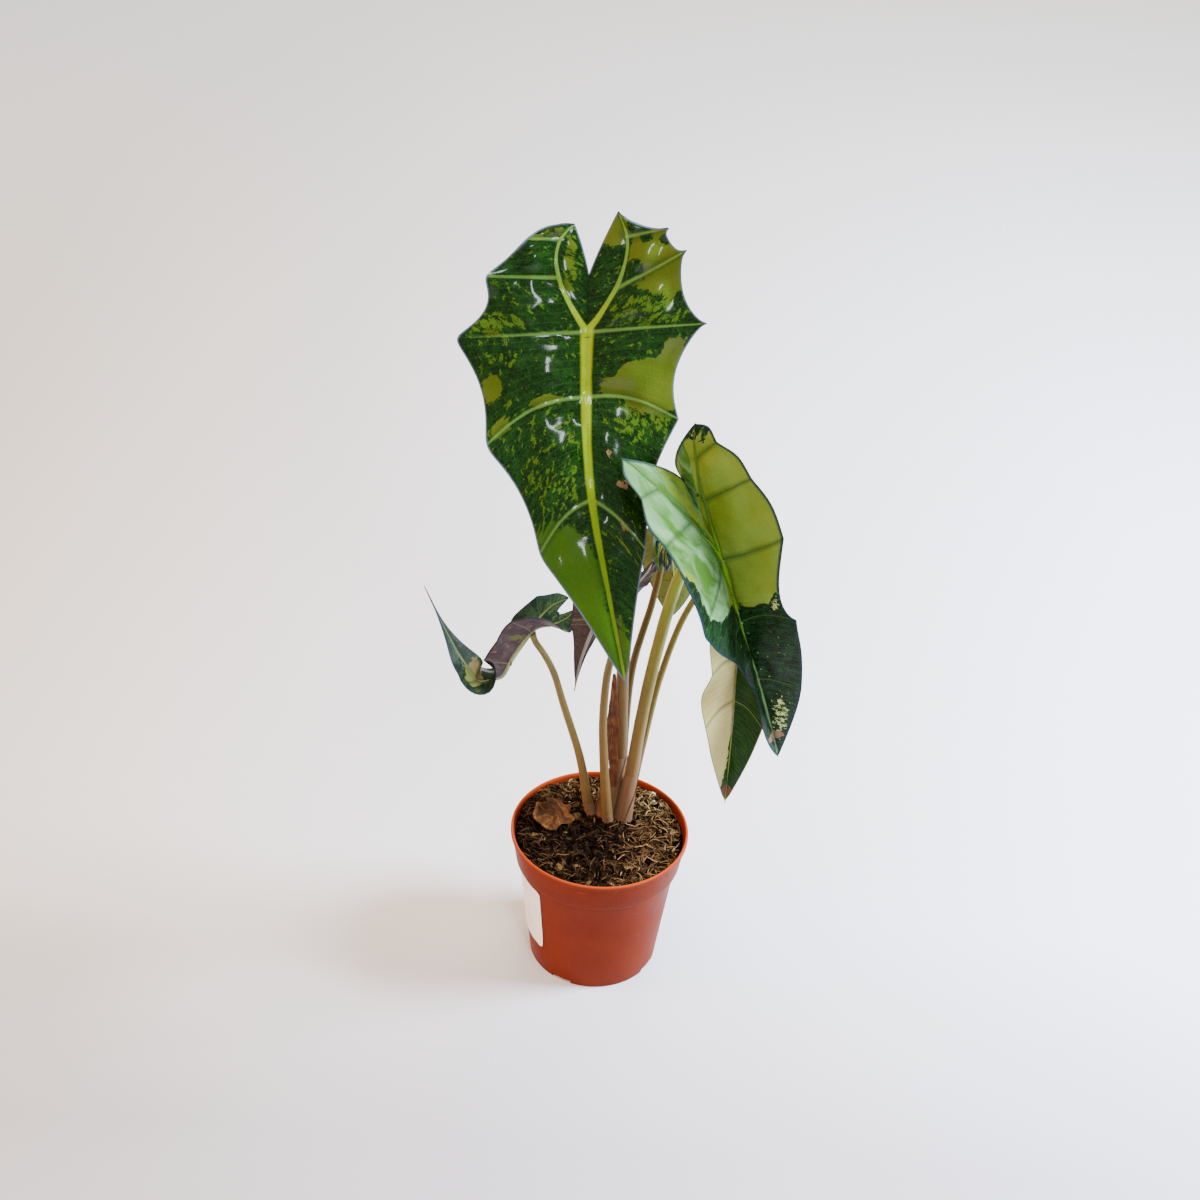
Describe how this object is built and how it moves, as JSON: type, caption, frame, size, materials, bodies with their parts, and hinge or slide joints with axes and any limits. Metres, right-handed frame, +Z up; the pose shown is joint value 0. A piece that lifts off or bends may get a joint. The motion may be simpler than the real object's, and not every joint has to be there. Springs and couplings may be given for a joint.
{
  "type": "potted foliage plant",
  "caption": "Variegated arrow-leaved foliage plant with bare stalks, growing in soil in a tapered terracotta-coloured nursery pot with a blank label.",
  "frame": {"origin": "middle of the pot's base, on the plane it stands on", "axes": "+Z up along the pot's axis, the side with the large front leaf towards -Y, the label on the left towards -X"},
  "size_m": [0.1735, 0.1414, 0.4241],
  "materials": {
    "pot_plastic": "satin",
    "label_paper": "satin",
    "soil": "matte",
    "stalk": "satin",
    "leaf_green": "glossy",
    "leaf_pale": "glossy",
    "leaf_purple": "satin",
    "dry_leaf": "matte"
  },
  "bodies": {
    "root": {"pot": "pot_plastic", "label": "label_paper", "soil": "soil", "crown": "stalk", "front_stalk": "stalk", "right_stalk": "stalk", "hanging_stalk": "stalk", "left_stalk": "stalk", "back_stalk": "stalk", "rear_stalk": "stalk", "front_blade": "leaf_green", "right_blade": "leaf_pale", "hanging_blade": "leaf_pale", "left_blade": "leaf_purple", "back_blade": "leaf_purple", "rear_blade": "leaf_green", "dry_sheath": "dry_leaf", "dead_leaf": "dry_leaf"}
  },
  "joints": []
}
